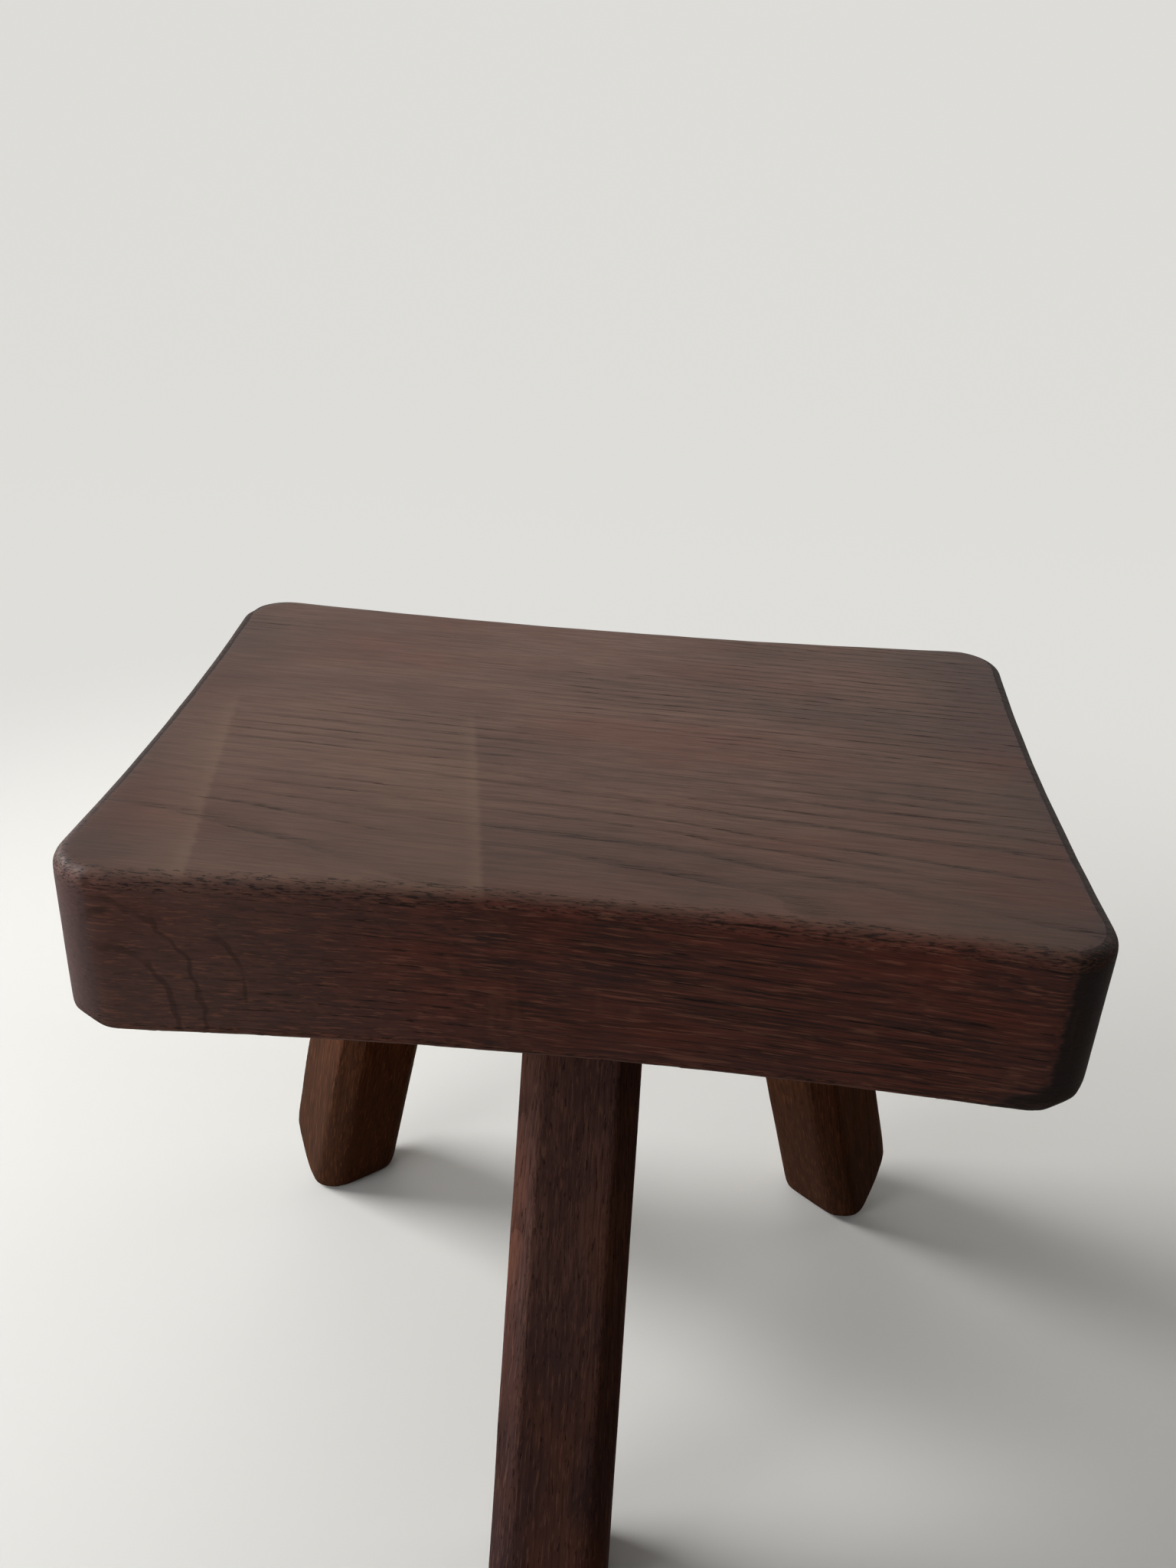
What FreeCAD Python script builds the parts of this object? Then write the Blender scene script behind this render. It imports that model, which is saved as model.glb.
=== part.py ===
import FreeCAD, Part
import math
import os
import Sketcher

# Tripod stool in solid oak: a thick slab with hollowed sides on three splayed legs. Each leg is
# square with its corners taken off, thickens towards the floor and ends above in a round tenon
# that sits in a blind socket in the slab. Millimetres, +Z up. The origin is on the floor under
# the middle of the slab, and the single leg stands towards -Y.

SIZES = (
    ("seat_height", 380.0, "floor to the top of the slab"),
    ("seat_width", 400.0, "slab along the grain, corner to corner"),
    ("seat_depth", 290.0, "slab across the grain, corner to corner"),
    ("seat_thick", 73.5, "slab thickness"),
    ("long_hollow", 10.0, "how far the front and back sides curve in"),
    ("end_hollow", 4.8, "how far the two ends curve in"),
    ("corner_round", 23.0, "radius of the slab's corners in plan"),
    ("top_round", 6.0, "radius of the slab's upper edge"),
    ("under_bevel", 4.0, "bevel of the slab's lower edge"),
    ("leg_top_width", 51.5, "leg across the flats where it meets the slab"),
    ("leg_foot_width", 57.0, "leg across the flats at the floor"),
    ("leg_corner", 10.0, "how much of each flat the leg's corner bevel takes"),
    ("leg_arris", 2.5, "radius of the leg's long edges"),
    ("heel_rise", 68.0, "height at which a rear leg's outer side starts to turn in"),
    ("heel_depth", 39.0, "how far that side has turned in at the floor"),
    ("front_heel_rise", 35.0, "height at which the front leg's outer side starts to turn in"),
    ("front_heel_depth", 20.0, "how far that side has turned in at the floor"),
    ("heel_round", 78.0, "radius of these turns"),
    ("tenon_width", 34.0, "tenon diameter"),
    ("tenon_reach", 46.0, "tenon length along the leg"),
    ("tenon_bevel", 2.0, "bevel at the tenon's end"),
    ("socket_room", 0.1, "room all round the tenon in its socket"),
    ("socket_end", 2.0, "room beyond the tenon's end"),
    ("front_root_x", 3.0, "front leg's axis at the slab's underside, right of the middle"),
    ("front_root_y", 87.15, "the same, in from the front"),
    ("front_bearing", 179.0, "way the front leg splays, clockwise from +Y, degrees"),
    ("front_splay", 16.0, "front leg's lean from upright, degrees"),
    ("left_root_x", 101.0, "left leg's axis at the slab's underside, in from the left end"),
    ("left_root_y", 91.0, "the same, in from the back"),
    ("left_bearing", -40.0, "way the left leg splays, degrees"),
    ("left_splay", 17.2, "left leg's lean, degrees"),
    ("right_root_x", 111.0, "right leg's axis at the slab's underside, in from the right end"),
    ("right_root_y", 92.5, "the same, in from the back"),
    ("right_bearing", 40.0, "way the right leg splays, degrees"),
    ("right_splay", 21.2, "right leg's lean, degrees"),
)
# Each leg with the place of its root, measured from the slab's middle.
LEGS = {
    "front": ("Sizes.front_root_x", "Sizes.front_root_y - Sizes.seat_depth / 2"),
    "left": ("Sizes.left_root_x - Sizes.seat_width / 2", "Sizes.seat_depth / 2 - Sizes.left_root_y"),
    "right": ("Sizes.seat_width / 2 - Sizes.right_root_x", "Sizes.seat_depth / 2 - Sizes.right_root_y"),
}
TOUCH = 1e-4        # two heights this close are the same

doc = FreeCAD.newDocument("tripod_stool")
sheet = doc.addObject("Spreadsheet::Sheet", "Sizes")
for row, (alias, size, meaning) in enumerate(SIZES, start=1):
    sheet.set(f"A{row}", meaning)
    sheet.set(f"B{row}", str(size))
    sheet.setAlias(f"B{row}", alias)
doc.recompute()


def value(expression):
    return float(sheet.evalExpression(expression))


def plane(body, role):
    return next(item for item in body.Origin.OriginFeatures if item.Role == role)


def sketch_on(body, role, name, lift="0"):
    sketch = body.newObject("Sketcher::SketchObject", name)
    sketch.AttachmentSupport = (plane(body, role), [""])
    sketch.MapMode = "FlatFace"
    sketch.setExpression("AttachmentOffset.Base.z", lift)
    return sketch


def hollow_arc(start, finish, radius):
    """Arc whose centre lies to the right of the way from start to finish."""
    chord = finish - start
    half = chord.Length / 2
    right = FreeCAD.Vector(chord.y, -chord.x, 0).normalize()
    centre = (start + finish) / 2 + right * math.sqrt(radius ** 2 - half ** 2)
    angles = [math.atan2(end.y - centre.y, end.x - centre.x) for end in (finish, start)]
    circle = Part.Circle(centre, FreeCAD.Vector(0, 0, 1), radius)
    return Part.ArcOfCircle(circle, *angles)


def outline(sketch, corners, arcs=None):
    """Closed anticlockwise outline; arcs gives the radius of each side that is hollowed."""
    arcs = arcs or {}
    first = sketch.GeometryCount
    points = [FreeCAD.Vector(value(x), value(y), 0) for x, y in corners]
    ends = []
    for side, start in enumerate(points):
        finish = points[(side + 1) % len(points)]
        if side in arcs:
            sketch.addGeometry(hollow_arc(start, finish, value(arcs[side])))
            ends.append((2, 1))
        else:
            sketch.addGeometry(Part.LineSegment(start, finish))
            ends.append((1, 2))
    for side, (_, finish_end) in enumerate(ends):
        after = (side + 1) % len(ends)
        sketch.addConstraint(
            Sketcher.Constraint("Coincident", first + side, finish_end, first + after, ends[after][0]))
    for side, point in enumerate(points):
        for kind, size, expression in zip(("DistanceX", "DistanceY"), point, corners[side]):
            index = sketch.addConstraint(
                Sketcher.Constraint(kind, -1, 1, first + side, ends[side][0], size))
            sketch.setExpression(f"Constraints[{index}]", expression)
    for side, radius in arcs.items():
        index = sketch.addConstraint(Sketcher.Constraint("Radius", first + side, value(radius)))
        sketch.setExpression(f"Constraints[{index}]", radius)


def round_outline(sketch, diameter):
    circle = Part.Circle(FreeCAD.Vector(0, 0, 0), FreeCAD.Vector(0, 0, 1), value(diameter) / 2)
    side = sketch.addGeometry(circle)
    sketch.addConstraint(Sketcher.Constraint("Coincident", side, 3, -1, 1))
    index = sketch.addConstraint(Sketcher.Constraint("Diameter", side, value(diameter)))
    sketch.setExpression(f"Constraints[{index}]", diameter)


def edges_where(feature, test):
    return [f"Edge{number}" for number, edge in enumerate(feature.Shape.Edges, start=1) if test(edge)]


def level(edge, height):
    box = edge.BoundBox
    return abs(box.ZMin - height) < TOUCH and abs(box.ZMax - height) < TOUCH


def dress(body, kind, name, feature, test, size):
    """Fillet or chamfer on the edges of the feature that pass the test."""
    doc.recompute()
    dressed = body.newObject(f"PartDesign::{kind}", name)
    dressed.Base = (feature, edges_where(feature, test))
    dressed.setExpression("Radius" if kind == "Fillet" else "Size", size)
    return dressed


def stance(leg, base_z):
    """Where a leg's axis meets the slab's underside, turned to its bearing and leant by its splay."""
    root_x, root_y = LEGS[leg]
    base = f"vector({root_x}; {root_y}; {base_z})"
    turn = f"rotation(vector(0; 0; 1); -Sizes.{leg}_bearing)"
    lean = f"rotation(vector(1; 0; 0); Sizes.{leg}_splay)"
    return f"placement({base}; {turn} * {lean})"


def build_seat():
    body = doc.addObject("PartDesign::Body", "seat")
    body.setExpression("Placement.Base.z", "Sizes.seat_height - Sizes.seat_thick")

    plan = sketch_on(body, "XY_Plane", "seat_plan")
    half_x, half_y = "Sizes.seat_width / 2", "Sizes.seat_depth / 2"
    long_bow = f"(({half_x})^2 + Sizes.long_hollow^2) / (2 * Sizes.long_hollow)"
    end_bow = f"(({half_y})^2 + Sizes.end_hollow^2) / (2 * Sizes.end_hollow)"
    outline(
        plan,
        [(f"-{half_x}", f"-{half_y}"), (half_x, f"-{half_y}"), (half_x, half_y), (f"-{half_x}", half_y)],
        {0: long_bow, 1: end_bow, 2: long_bow, 3: end_bow})
    slab = body.newObject("PartDesign::Pad", "seat_slab")
    slab.Profile = plan
    slab.setExpression("Length", "Sizes.seat_thick")

    thick = value("Sizes.seat_thick")
    corners = dress(
        body, "Fillet", "seat_corners", slab,
        lambda edge: edge.BoundBox.ZLength > thick / 2, "Sizes.corner_round")
    upper = dress(
        body, "Fillet", "seat_upper_edge", corners,
        lambda edge: level(edge, thick), "Sizes.top_round")
    dress(
        body, "Chamfer", "seat_lower_edge", upper,
        lambda edge: level(edge, 0), "Sizes.under_bevel")

    # Each socket is bored along its leg's axis, from clear below the underside.
    for leg in LEGS:
        socket = body.newObject("PartDesign::SubtractiveCylinder", f"{leg}_socket")
        socket.setExpression("Radius", "Sizes.tenon_width / 2 + Sizes.socket_room")
        socket.setExpression("Height", "Sizes.tenon_width + Sizes.tenon_reach + Sizes.socket_end")
        start = "placement(vector(0; 0; -Sizes.tenon_width); rotation(vector(0; 0; 1); 0))"
        socket.setExpression("Placement", f"{stance(leg, '0')} * {start}")
        doc.recompute()
    return body


def leg_half(lift, length):
    """Half the width across the flats, which grows evenly from the slab down to the floor."""
    gain = "(Sizes.leg_foot_width - Sizes.leg_top_width)"
    return f"((Sizes.leg_top_width - {gain} * ({lift}) / {length}) / 2)"


def build_leg(leg):
    """Leg drawn upright about its own axis: +Z up the axis, +Y outwards, the underside at the origin."""
    body = doc.addObject("PartDesign::Body", f"{leg}_leg")
    body.setExpression("Placement", stance(leg, "Sizes.seat_height - Sizes.seat_thick"))
    slope = f"tan(Sizes.{leg}_splay)"
    length = f"((Sizes.seat_height - Sizes.seat_thick) / cos(Sizes.{leg}_splay))"
    spare = "Sizes.leg_foot_width"

    # The blank is drawn longer than the leg at both ends, tapered as seen from the side and then
    # from outside, before its corners come off.
    top, bottom = spare, f"-({length} + {spare})"
    top_half, bottom_half = leg_half(top, length), leg_half(bottom, length)
    side = sketch_on(body, "YZ_Plane", f"{leg}_side")
    outline(side, [
        (f"-{bottom_half}", bottom), (bottom_half, bottom), (top_half, top), (f"-{top_half}", top)])
    blank = body.newObject("PartDesign::Pad", f"{leg}_blank")
    blank.Profile = side
    blank.SideType = "Symmetric"
    blank.setExpression("Length", f"2 * {spare}")

    over, under = f"2 * {spare}", f"-({length} + 2 * {spare})"
    over_half, under_half = leg_half(over, length), leg_half(under, length)
    cheeks = sketch_on(body, "XZ_Plane", f"{leg}_cheeks")
    outline(cheeks, [(under_half, under), (over, under), (over, over), (over_half, over)])
    outline(cheeks, [
        (f"-{over}", under), (f"-{under_half}", under), (f"-{over_half}", over), (f"-{over}", over)])
    shaft = body.newObject("PartDesign::Pocket", f"{leg}_shaft")
    shaft.Profile = cheeks
    shaft.Type = "ThroughAll"
    shaft.SideType = "Symmetric"

    half_length = value(length) / 2

    def runs_along(edge):
        return edge.BoundBox.ZLength > half_length

    corners = dress(body, "Chamfer", f"{leg}_corners", shaft, runs_along, "Sizes.leg_corner")
    dress(body, "Fillet", f"{leg}_arrises", corners, runs_along, "Sizes.leg_arris")

    # Saw cuts seen along the floor, square to the splay: level with the underside, level with
    # the floor, and round the heel on the outer side.
    heel = "Sizes.front_heel" if leg == "front" else "Sizes.heel"
    heel_z = f"({heel}_rise - {length} - Sizes.leg_foot_width / 2 * {slope})"
    heel_y = leg_half(heel_z, length)
    turn_y = f"(Sizes.leg_foot_width / 2 - {heel}_depth)"
    turn_z = f"-({turn_y} * {slope} + {length})"
    cuts = sketch_on(body, "YZ_Plane", f"{leg}_cuts")
    outline(cuts, [
        (spare, f"-{spare} * {slope}"), (spare, over), (f"-{spare}", over),
        (f"-{spare}", f"{spare} * {slope}")])
    outline(cuts, [
        (heel_y, heel_z), (turn_y, turn_z), (f"-{spare}", f"{spare} * {slope} - {length}"),
        (f"-{spare}", under), (spare, under), (spare, heel_z)],
        {0: "Sizes.heel_round"})
    trimmed = body.newObject("PartDesign::Pocket", f"{leg}_trimmed")
    trimmed.Profile = cuts
    trimmed.Type = "ThroughAll"
    trimmed.SideType = "Symmetric"

    round_end = sketch_on(body, "XY_Plane", f"{leg}_tenon_round", "-Sizes.tenon_width")
    round_outline(round_end, "Sizes.tenon_width")
    tenon = body.newObject("PartDesign::Pad", f"{leg}_tenon")
    tenon.Profile = round_end
    tenon.setExpression("Length", "Sizes.tenon_width + Sizes.tenon_reach")
    reach = value("Sizes.tenon_reach")
    dress(
        body, "Chamfer", f"{leg}_tenon_end", tenon,
        lambda edge: level(edge, reach), "Sizes.tenon_bevel")
    return body


pieces = [build_seat()] + [build_leg(leg) for leg in LEGS]
doc.recompute()

for item in doc.Objects:
    failed = {"Invalid", "Error"} & set(item.State)
    if failed:
        raise RuntimeError(f"{item.Name} is {failed}")
for piece in pieces:
    if piece.Shape.isNull() or not piece.Shape.isValid() or len(piece.Shape.Solids) != 1:
        raise RuntimeError(f"{piece.Label} is not one sound solid")

os.makedirs("parts", exist_ok=True)
for piece in pieces:
    piece.Shape.exportStep(f"parts/{piece.Label}.step")
    box = piece.Shape.BoundBox
    print(piece.Label, round(piece.Shape.Volume), [round(edge, 2) for edge in (
        box.XMin, box.XMax, box.YMin, box.YMax, box.ZMin, box.ZMax)])
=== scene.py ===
import math
from types import SimpleNamespace

import bmesh
import bpy
import numpy as np
from mathutils import Matrix, Vector, noise
from mathutils.bvhtree import BVHTree


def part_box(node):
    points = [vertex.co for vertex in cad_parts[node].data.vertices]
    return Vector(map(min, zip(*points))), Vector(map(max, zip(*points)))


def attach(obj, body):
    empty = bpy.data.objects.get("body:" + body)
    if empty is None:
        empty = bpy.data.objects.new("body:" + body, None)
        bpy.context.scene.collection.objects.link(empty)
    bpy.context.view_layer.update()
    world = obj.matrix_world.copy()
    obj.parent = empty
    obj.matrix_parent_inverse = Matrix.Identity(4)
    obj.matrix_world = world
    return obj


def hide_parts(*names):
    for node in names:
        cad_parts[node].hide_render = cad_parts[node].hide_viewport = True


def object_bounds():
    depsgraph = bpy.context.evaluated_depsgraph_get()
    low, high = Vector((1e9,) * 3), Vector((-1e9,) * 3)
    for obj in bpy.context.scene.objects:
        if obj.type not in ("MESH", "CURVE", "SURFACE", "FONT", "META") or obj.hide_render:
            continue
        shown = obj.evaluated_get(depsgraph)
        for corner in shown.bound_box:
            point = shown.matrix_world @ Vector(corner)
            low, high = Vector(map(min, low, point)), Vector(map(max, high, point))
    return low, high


# Low tripod stool of dark-stained oak: a thick slab on three splayed legs, hand finished and waxed.
# Metres, in the frame of the solids.

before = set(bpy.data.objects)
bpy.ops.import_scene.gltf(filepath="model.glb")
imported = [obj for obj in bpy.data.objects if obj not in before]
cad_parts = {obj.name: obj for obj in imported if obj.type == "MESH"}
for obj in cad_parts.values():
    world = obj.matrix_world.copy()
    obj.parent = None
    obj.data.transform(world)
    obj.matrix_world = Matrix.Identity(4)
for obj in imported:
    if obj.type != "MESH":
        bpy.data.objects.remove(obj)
cad_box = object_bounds()

SLAB = "seat"
SLAB_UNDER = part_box(SLAB)[0][2]
SLAB_TOP = cad_box[1][2]
LEGS = ("front_leg", "left_leg", "right_leg")

# Camera, fitted to the slab's outline.
CAMERA_PLACE = (0.0257, -0.5588, 0.6563)
CAMERA_DOWN = 28.13         # degrees below level
CAMERA_TURN = 3.14          # degrees to the left of +Y
CAMERA_ROLL = 3.10          # degrees
LENS_MM = 32.12             # on a sensor of 36 mm along the picture's longer side
SENSOR_MM = 36.0

# Hand-finished surface: how far each kind of unevenness goes in from the solid.
MESH_STEP = 0.0015
EVEN_STEPS = 4              # smoothing passes that take out the mesh's steps
EVEN_SWELL = 0.51           # swell after each of them, which keeps the volume
EDGE_STEPS = 16             # smoothing passes that edges are measured against
EDGE_HEIGHT = 0.0009        # rise above a smoothed surface that counts as a full edge
WAVE_DEPTH = 0.00035        # long waves left by the plane
WAVE_LENGTH = 0.075
RUB_DEPTH = 0.0007          # edges rubbed down by hand and use
RUB_LENGTH = 0.022
UNDER_RUB = 0.2             # share of it on the slab's lower edges, which hands and feet miss
DENT_EDGE = 0.6             # a dent lies where the surface is at least this much of an edge
DENT_DEPTH = (0.0002, 0.0007)
DENT_WIDTH = (0.0015, 0.0045)
SLAB_DENTS = 60
LEG_DENTS = 30
SLAB_SEED = 3
LEG_SEED = 11
FIELD_SHIFT = (3.7, 1.9, 5.3)           # sets one seed's noise apart from the next one's
SEATED = 0.95               # cosine of the tilt of what lies on the floor or against another piece
CORNER_CUT = (0.457, 0.680, -0.574)     # way that the slab's lower corners are cut off, outwards and down
CUT_REACH = 0.1763          # how far out from the underside's middle the cut lies
CUT_FADE = 0.008            # how far inside the cut its edges are worn
CUT_STEPS = 8
FOOT_HEIGHT = 0.095         # below this the legs' edges are worn round
FOOT_FADE = 0.030
FOOT_STEPS = 30
ROUND_START = 0.025         # one less the cosine of the tilt at which an edge's round is out of the level
LEG_END = 0.02              # share of a leg's height that counts as its end

# Figure of the wood: sizes along and across the fibres, and the levels of a noise that a feature
# fades in between.
RING_WANDER = (0.20, 0.05)
RING_SHIFT = 0.007          # how far the rings wander
RING_UNEVEN = 0.018         # distance over which the rings' width changes
RING_SPREAD = 3.0           # in years
SPRING_GROWTH = (0.36, 0.02)            # share of a year, back to its start
SPRING_PATCH = (0.11, 0.05)
SPRING_CUT = (0.36, 0.62)
SPRING_LEAST = 0.25
SPRING_TILT = 0.5           # more spring growth shows towards the slab's right end and the legs' tops
RAY_SIZE = (0.012, 0.035)   # along the fibres and outwards
RAYS_PER_RADIAN = 160.0
RAY_CUT = (0.58, 0.70)
FIBRE_SIZE = (0.045, 0.0010)
STREAK_SIZE = (0.040, 0.0026)
FIBRE_WEIGHT = 0.7
STREAK_WEIGHT = 0.3
BODY_CUT = (0.40, 0.60)
GLINT_SIZE = (0.020, 0.0009)
GLINT_SHIFT = (1.3, 0.5, 0.2)
GLINT_CUT = (0.57, 0.66)
PORE_RINGS = (0.15, 0.9)    # levels of spring growth that pores open between
TOP_PORES_BETWEEN = 0.05    # share of pores between the rings, on the top
SPECK_SIZE = (0.005, 0.0007)
RUBBED_EDGE = (0.15, 0.8)
RUBBED_CUT = (0.46, 0.60)
PIT_EDGE = (0.06, 0.35)
PIT_CUT = (0.42, 0.38)

# Broad rays cut open: centre as x and depth under the top, then reach sideways and up.
RAY_LOOPS = (
    ((-0.172, 0.034), (-0.0125, 0.019)),
    ((-0.175, 0.068), (0.0253, 0.037)),
    ((-0.175, 0.068), (0.0360, 0.058)),
    ((-0.135, 0.052), (0.0120, 0.027)),
)
RAY_WIDTH = 0.0024
RAY_CORE = 0.35             # share of the width that is fully dark
LOOP_WOBBLE = 0.009
LOOP_WOBBLE_REACH = 0.2     # of the loop's own reach
LOOP_GAP = 0.018
LOOP_GAP_CUT = (0.32, 0.48)
LOOP_SIDEWAYS = (-0.3, 0.1)             # the loops open to the left and downwards
LOOP_UPWARDS = (-0.2, 0.0)
LOOP_FRONT = (-0.115, -0.132)           # y at which they come to the front side

# Painted reflection: two pale bands over the top, each with a sharp right edge.
PAINTED_REFLECTIONS = ((-0.168, 0.03), (-0.058, 0.10))        # where each band stops, and how far left it reaches
REFLECTION_SLANT = 0.17           # in x over y
REFLECTION_WANDER = (0.02, 0.004)
REFLECTION_WANDER_REACH = 0.004
REFLECTION_FILM = 0.6             # shares of the film and of the ridge at its right end
REFLECTION_RIDGE = 0.4
RIDGE_WIDTH = 0.006
REFLECTION_EDGE = 0.003
REFLECTION_BACK = (0.03, -0.01)   # y at which the bands begin

# Where the stain lies, and where light and shade are painted, as x or y on the slab or the height along a
# leg.
CALM_SLANT = -0.5           # the top's fibres show least at its left and along its front
CALM_LEFT = (0.02, -0.12)
CALM_LEFT_SHARES = (0.25, 0.5)
CALM_FRONT = (-0.085, -0.125)
CALM_FRONT_SHARE = 0.6
MOTTLE_SIZE = (0.016, 0.005)
MOTTLE_STRENGTH = 1.1
# Painted shade: the top darkens towards its front and towards its right end, where less light falls.
PAINTED_SHADE_FRONT = (0.02, -0.14)
PAINTED_SHADE_FRONT_SHARE = 0.22
PAINTED_SHADE_RIGHT = (0.0, 0.2)
PAINTED_SHADE_RIGHT_SHARE = 0.27
TOP_SHARE = 0.9
# Painted light: the slab's sides turn paler and greyer towards the left end, where the light falls.
PAINTED_LIGHT_LEFT_FADE = (-0.02, -0.19)
PAINTED_LIGHT_LEFT_SHARE = 0.6
TIPS = (0.14, 0.20)         # distance from the middle
TIPS_SHARE = 0.45
LEG_LOW = (0.02, -0.13)
LEG_LOW_SHARE = 0.7
WARM_SIZE = (0.10, 0.045)
WARM_CUT = (0.45, 0.70)
COOL_SIZE = (0.12, 0.05)
COOL_SHIFT = (3.1, 1.7, 0.4)
COOL_CUT = (0.38, 0.66)
END_RAGGED = 0.25           # unevenness of the end grain's border
LEG_END_CUT = (0.22, 0.46)
SLAB_END_CUT = (0.14, 0.24)
PAINTED_SHADE_RISE = 0.024          # painted shade: at the right end the dark end-grain tone runs along the slab's lower edge
PAINTED_SHADE_REACH = 0.028
PAINTED_SHADE_RAGGED = 0.06
PAINTED_SHADE_CUT = (0.184, 0.190)
PAINTED_SHADE_TOP = (0.03, 0.02)
KEPT_RIGHT = (-0.10, 0.10)  # the end grain's dark stain leaves out the left front corner: wear, and painted light
KEPT_BACK = (-0.14, -0.05)

# Shares of the tones. A pair is for the sides and for the polished top.
WARM_SHARES = (0.55, 0.3)
COOL_SHARES = (0.5, 0.35)
GLINT_SHARES = (0.5, 0.2)
PORE_SHARES = (0.9, 0.6)
SPRING_SHARE = 0.45
RAY_SHARE = 0.12
LOOP_SHARE = 0.55
REFLECTION_SHARE = 0.24
RUBBED_AND_LIT_END_SHARE = 0.6
END_SHARE = 0.92
END_RING_SHARE = 0.6
END_RAY_SHARE = 0.4

# Gloss and relief.
ROUGH_FIBRES = (0.3, 0.7)
ROUGH_RANGE = 0.04
OPEN_ROUGHNESS = 0.2        # added in pores and on end grain
UNDER_ROUGHNESS = 0.3       # added on undersides, which were never waxed
TOP_ROUGHNESS = -0.32       # added on the waxed top
RELIEF = 0.00022            # depth of a pore
FIBRE_RELIEF = 0.35         # shares of that depth
FIBRE_RELIEF_SHARES = (1.0, 0.5)
SPRING_RELIEF = 0.15
PIT_RELIEF = 1.2

# Stage.
FLOOR_HALF_WIDTH = 5.0
FLOOR_FRONT = -4.0
WALL_BACK = 2.2
WALL_HEIGHT = 2.8
WALL_BEND = 0.8
BEND_STEPS = 12
PALE_WALL = (0.1, 0.6)      # height over which the sheet's thrown light turns pale
FAR_OFF = (0.45, 1.1)       # distance from the stool over which the floor turns even
FLOOR_ROUGHNESS = 0.9
FLOOR_SHEEN = 0.2
SKY_LIGHT = (0.95, 0.97, 1.0, 1.0)
SKY_STRENGTH = 0.55
BRIGHT_SIDE = (-0.85, -0.20, 0.45)
BRIGHT_FALL = (0.2, 1.0)    # cosine of the angle to the bright side

# Name, place, what it points at, size, watts and spread in degrees.
LAMPS = (
    ("window", (-1.90, 0.30, 1.15), (0.0, 0.0, 0.33), (1.0, 1.0), 23, 110),
    ("side", (-1.30, -1.10, 0.42), (0.0, -0.1, 0.2), (0.8, 0.8), 15, 180),
    ("sky", (-0.5, 0.7, 2.3), (0.0, 0.0, 0.35), (2.0, 2.0), 6, 180),
    ("wall_wash", (-0.6, 0.6, 1.9), (-0.4, 2.2, 1.6), (1.8, 0.6), 37, 180),
    ("right_fill", (1.7, 1.1, 0.9), (0.05, 0.0, 0.25), (1.2, 1.2), 6, 180),
)


def linear(red, green, blue):
    """Scene colour for a screen colour given from 0 to 255."""
    def channel(level):
        level /= 255
        return level / 12.92 if level <= 0.04045 else ((level + 0.055) / 1.055) ** 2.4
    return (channel(red), channel(green), channel(blue), 1.0)


BLACK = linear(0, 0, 0)
PALE = linear(214, 213, 209)
PALE_FAR_OFF = linear(220, 219, 215)
STRAW = linear(178, 136, 88)

SEAT_TONE = {
    "slab": True,
    "dark": linear(27, 12, 11),
    "light": linear(70, 35, 29),
    # the top's tones: waxed wood, made paler still as painted sheen
    "top_dark": linear(81, 59, 50),
    "top_light": linear(106, 80, 67),
    # painted reflection on the waxed top
    "painted_reflection": linear(126, 101, 82),
    # painted light on the sides of the left end
    "left": linear(93, 73, 69),
    "warm": linear(84, 37, 27),
    "cool": linear(46, 32, 33),
    "deep": linear(27, 14, 12),
    "ray": linear(100, 66, 54),
    "rubbed": linear(116, 82, 68),
    "pore": linear(13, 6, 5),
    "end": linear(19, 16, 17),
    "rubbed_and_lit_end": linear(56, 45, 46),
    "pore_size": (0.020, 0.0008),
    "pore_cut": (0.56, 0.61),
    "pores_between": 0.2,       # share of pores between the rings
    "pits": 0.8,
    "rub": 0.4,
    "roughness": 0.80,
    "sheen": 0.20,
    "sheen_tint": (1.0, 0.85, 0.75, 1.0),
}
FRONT_LEG_TONE = {
    "slab": False,
    "dark": linear(57, 40, 37),
    "light": linear(77, 55, 50),
    "warm": linear(92, 58, 45),
    "cool": linear(36, 27, 29),
    "deep": linear(31, 20, 19),
    "ray": linear(88, 62, 54),
    "rubbed": linear(96, 64, 50),
    "pore": linear(11, 6, 5),
    "end": linear(17, 12, 11),
    "pore_size": (0.009, 0.0009),
    "pore_cut": (0.635, 0.67),
    "pores_between": 0.6,
    "pits": 0.2,
    "rub": 0.2,
    "roughness": 0.85,
    "sheen": 0.04,
    "sheen_tint": (1.0, 0.66, 0.46, 1.0),
}
# The rear legs' tone: warmer and darker than the front leg's, partly another board, partly painted shade
# and warm bounced light from under the slab.
REAR_LEG_TONE = dict(
    FRONT_LEG_TONE,
    dark=linear(46, 28, 19),
    light=linear(77, 48, 34),
    warm=linear(87, 51, 32),
    cool=linear(51, 36, 29),
    deep=linear(30, 17, 12),
    ray=linear(89, 58, 42),
    rubbed=linear(104, 70, 50),
    pores_between=0.2)

# How each piece was cut from its tree: place and lean of the pith line, and width of a year.
SEAT_BOARD = {"pith": (-0.13, 0.24), "lean": (0.04, 0.03), "ring_gap": 0.0045}
LEG_BOARDS = {
    "front_leg": {"pith": (0.06, -0.08), "lean": (0.01, 0.0), "ring_gap": 0.0036},
    "left_leg": {"pith": (-0.09, -0.03), "lean": (0.0, 0.02), "ring_gap": 0.0032},
    "right_leg": {"pith": (-0.05, 0.10), "lean": (0.02, 0.0), "ring_gap": 0.0040},
}


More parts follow.
